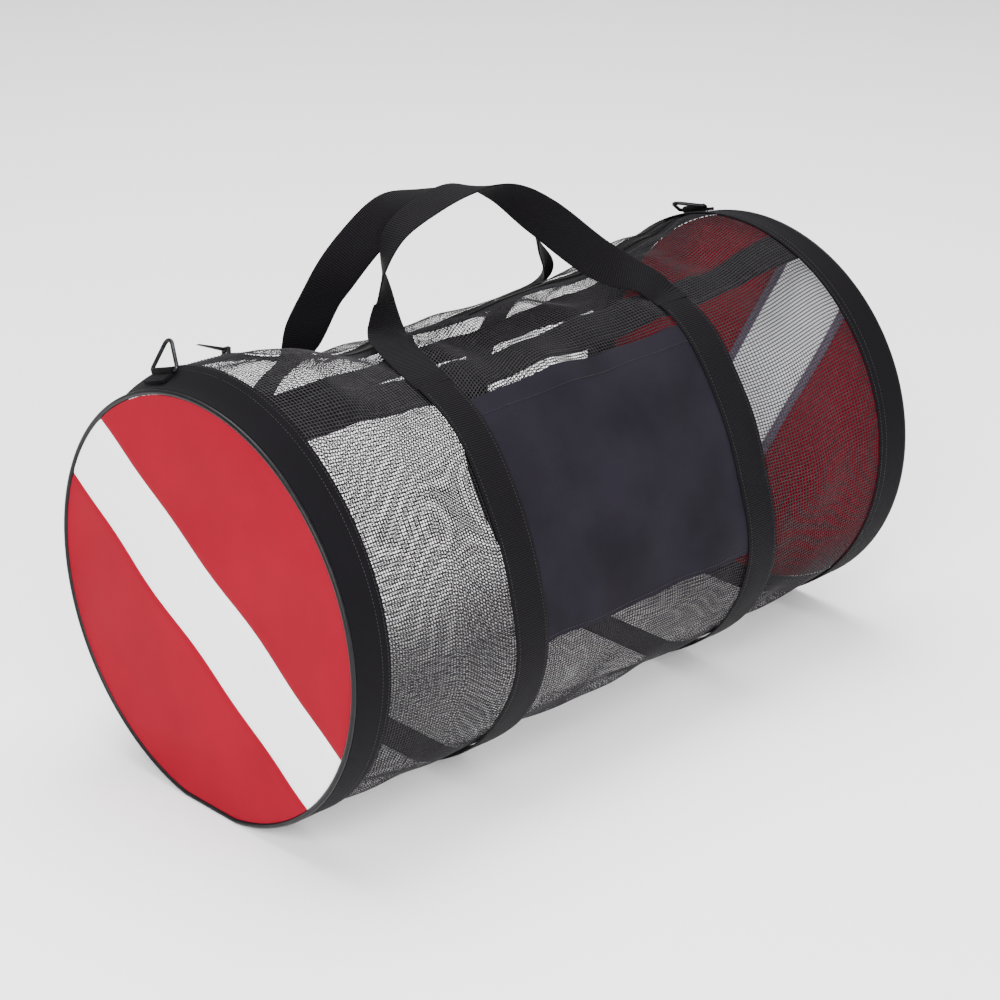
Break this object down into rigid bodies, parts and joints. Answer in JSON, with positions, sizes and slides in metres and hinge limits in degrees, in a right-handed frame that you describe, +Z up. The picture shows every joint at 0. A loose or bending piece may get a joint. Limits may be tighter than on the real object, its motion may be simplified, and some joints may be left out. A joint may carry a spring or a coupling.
{
  "type": "mesh dive gear bag",
  "caption": "Cylindrical mesh duffel for diving gear with red ends, a white diagonal stripe, web carry handles, a top zip, a front pocket and two shoulder rings.",
  "frame": {"origin": "middle of the footprint, on the surface that the bag rests on", "axes": "+X along the bag from the left end to the right one, -Y the front with the pocket, +Z up"},
  "size_m": [0.7, 0.3815, 0.4768],
  "materials": {
    "mesh": "open polyester mesh, matt black",
    "nylon": "plain woven nylon, matt black",
    "webbing": "ribbed nylon webbing, black",
    "pocket": "light coated nylon, black",
    "piping": "smooth vinyl piping, slightly glossy",
    "red": "coated nylon, red",
    "white": "coated nylon, white",
    "tape": "woven zip tape, black",
    "plastic": "moulded plastic, black",
    "steel": "bent wire, black oxide"
  },
  "bodies": {
    "bag": {"mesh_body": "mesh", "end_band_left": "nylon", "piping_left": "piping", "panel_left_upper": "red", "panel_left_lower": "red", "panel_left_stripe": "white", "girth_strap_left": "webbing", "ring_tab_left": "webbing", "end_band_right": "nylon", "piping_right": "piping", "panel_right_upper": "red", "panel_right_lower": "red", "panel_right_stripe": "white", "girth_strap_right": "webbing", "ring_tab_right": "webbing", "pocket_panel": "pocket", "inner_webbing_front": "webbing", "inner_webbing_back": "webbing", "zip_tape_front": "tape", "zip_tape_back": "tape", "zip_teeth": "plastic", "zip_slider": "plastic", "handle_front": "webbing", "handle_back": "webbing"},
    "ring_left": {"d_ring_left": "steel"},
    "ring_right": {"d_ring_right": "steel"},
    "puller": {"zip_puller": "plastic"}
  },
  "joints": [
    {"name": "ring_left_swing", "type": "hinge", "parent": "bag", "child": "ring_left", "pos_m": [-0.3255, 0.06499, 0.37572], "axis": [-0.0083, 0.954, -0.2996], "range_deg": [-110, 40]},
    {"name": "ring_right_swing", "type": "hinge", "parent": "bag", "child": "ring_right", "pos_m": [0.3255, 0.06409, 0.37313], "axis": [0.0001, 0.9459, -0.3245], "range_deg": [-8, 140]},
    {"name": "puller_swing", "type": "hinge", "parent": "bag", "child": "puller", "pos_m": [-0.24715, 0.08139, 0.37013], "axis": [0.1647, 0.8991, -0.4055], "range_deg": [-8, 150]}
  ]
}
